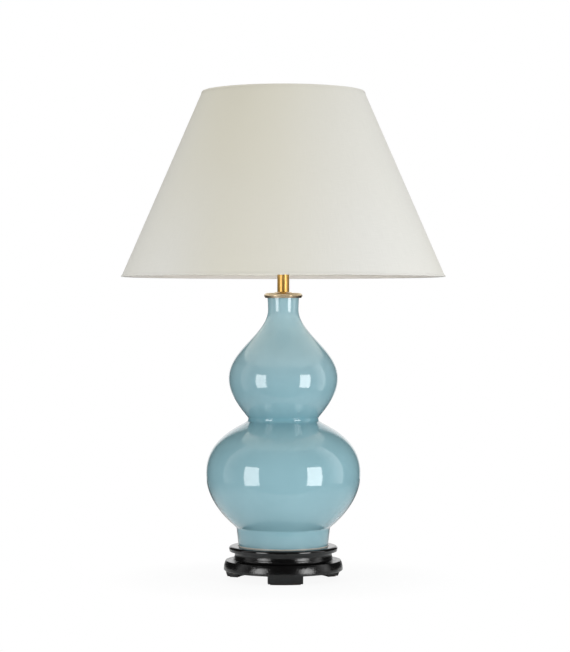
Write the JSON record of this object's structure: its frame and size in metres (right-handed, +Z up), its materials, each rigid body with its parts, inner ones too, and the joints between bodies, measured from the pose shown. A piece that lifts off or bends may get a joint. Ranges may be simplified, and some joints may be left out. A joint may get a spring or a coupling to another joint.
{
  "type": "double gourd table lamp",
  "caption": "Table lamp with a glazed double gourd vase on a turned black stand with feet, brass cap and stem, and a lift-off empire shade on a wire carrier.",
  "frame": {"origin": "centre of the stand on the floor, under the three felt pads", "axes": "+Z up along the lamp's axis, -Y to the front with one foot below it, +X to the lamp's right as seen from the front"},
  "size_m": [0.4327, 0.4326, 0.6506],
  "materials": {
    "black_lacquer": "turned hardwood under black gloss lacquer",
    "plated_steel": "zinc plated",
    "dark_felt": "charcoal wool felt",
    "black_plastic": "moulded black",
    "black_rubber": "matt black",
    "blue_glaze": "duck-egg blue gloss glaze",
    "pale_brass": "polished pale brass",
    "gold_brass": "polished lacquered brass",
    "contact_brass": "bright stamped brass",
    "porcelain": "white glazed porcelain",
    "white_wire": "white powder-coated wire",
    "white_lining": "white lining laminate",
    "ivory_cloth": "ivory plain-weave cotton, laminated",
    "ivory_binding": "ivory cloth, turned over the wire",
    "solder": "tinned, dull",
    "black_glass": "black vitreous insulator",
    "bulb_metal": "bright rolled thread",
    "opal_glass": "opal white"
  },
  "bodies": {
    "lamp_base": {"stand_apron": "black_lacquer", "stand_tray": "black_lacquer", "stand_screws": "plated_steel", "foot_pads": "dark_felt", "cord_bush": "black_plastic", "base_washer": "plated_steel", "base_nut": "plated_steel", "hollow_rod": "plated_steel", "seat_gasket": "dark_felt", "gourd_vase": "blue_glaze", "neck_cap": "pale_brass", "neck_sleeve": "black_rubber", "stem_tube": "gold_brass", "holder_dome": "gold_brass", "holder_core": "porcelain", "terminal_screws": "contact_brass", "holder_skirt": "gold_brass", "shade_ring": "gold_brass", "screw_shell": "contact_brass", "centre_contact": "contact_brass"},
    "switch": {"switch_bar": "black_plastic"},
    "carrier": {"carrier_frame": "gold_brass", "gallery_ring": "gold_brass"},
    "shade": {"shade_spider": "white_wire", "shade_top_ring": "white_wire", "shade_bottom_ring": "white_wire", "shade_liner": "white_lining", "shade_cover": "ivory_cloth", "bottom_trim": "ivory_binding", "top_trim": "ivory_binding"},
    "bulb_tip": {"bulb_contact": "solder", "bulb_insulator": "black_glass"},
    "bulb": {"bulb_cap": "bulb_metal", "bulb_glass": "opal_glass"}
  },
  "joints": [
    {"name": "switch_push", "type": "slide", "parent": "lamp_base", "child": "switch", "axis": [1, 0, 0], "range_m": [0, 0.004]},
    {"name": "shade_turn", "type": "hinge", "parent": "lamp_base", "child": "carrier", "pos_m": [0, 0, 0.468], "axis": [0, 0, 1], "continuous": true},
    {"name": "shade_lift", "type": "slide", "parent": "carrier", "child": "shade", "axis": [0, 0, 1], "range_m": [0, 0.2]},
    {"name": "bulb_lift", "type": "slide", "parent": "lamp_base", "child": "bulb_tip", "axis": [0, 0, 1], "range_m": [0, 0.01835]},
    {"name": "bulb_turn", "type": "hinge", "parent": "bulb_tip", "child": "bulb", "pos_m": [0, 0, 0.4731], "axis": [0, 0, 1], "range_deg": [0, 1800]}
  ],
  "couplings": [
    {"joint": "bulb_lift", "follows": "bulb_turn", "m_per_rad": 0.00057757}
  ]
}
